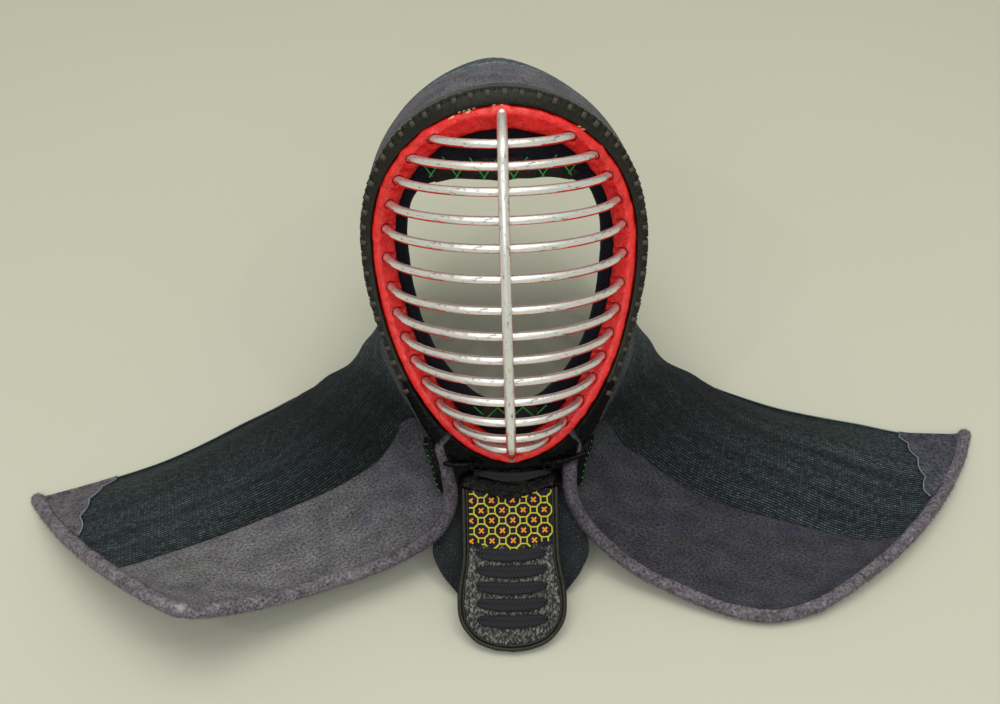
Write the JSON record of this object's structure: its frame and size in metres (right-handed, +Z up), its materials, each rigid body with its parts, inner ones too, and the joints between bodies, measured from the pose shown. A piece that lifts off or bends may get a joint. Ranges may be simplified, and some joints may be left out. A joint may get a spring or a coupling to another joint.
{
  "type": "kendo mask",
  "caption": "Kendo mask with a barred metal grill, a lacquered rim, a padded hood that runs on as two shoulder flaps, and a stitched throat guard",
  "frame": {"origin": "on the resting surface, under the centre of the mask's bounding box", "axes": "+Z up; +Y runs back from the throat guard to the rear of the hood; +X is the viewer's right, along both shoulder flaps"},
  "size_m": [0.7864, 0.4128, 0.3189],
  "materials": {
    "quilted_cotton": "indigo cotton in close rows of stitches, with a grey-purple front band",
    "suede": "worn indigo suede",
    "black_lacquer": "black lacquer over rawhide, semi-gloss",
    "red_lacquer": "red lacquer, semi-gloss",
    "duralumin": "bright, finely scratched",
    "navy_cotton": "navy cotton",
    "black_leather": "pebbled black leather with coloured thread",
    "embroidery": "net of yellow octagons with orange crosses on navy"
  },
  "bodies": {
    "root": {"hood": "quilted_cotton", "flap_border_left": "suede", "flap_border_right": "suede", "corner_patch_left": "suede", "corner_patch_right": "suede", "rim": "black_lacquer", "red_ring": "red_lacquer", "grill": "duralumin", "face_pad": "navy_cotton", "forehead_facing": "black_leather", "chin_facing": "black_leather", "chin_plate": "black_lacquer", "chin_braid": "navy_cotton", "chin_collar": "black_lacquer", "chin_tie_left": "black_lacquer", "chin_tie_right": "black_lacquer", "rim_tongue_left": "black_leather", "rim_tongue_right": "black_leather", "throat_guard": "black_leather", "throat_piping": "black_leather", "throat_rib_1": "navy_cotton", "throat_rib_2": "navy_cotton", "throat_rib_3": "navy_cotton", "throat_rib_4": "navy_cotton", "throat_rib_5": "navy_cotton", "embroidered_panel": "embroidery", "inner_throat_guard": "navy_cotton"}
  },
  "joints": []
}
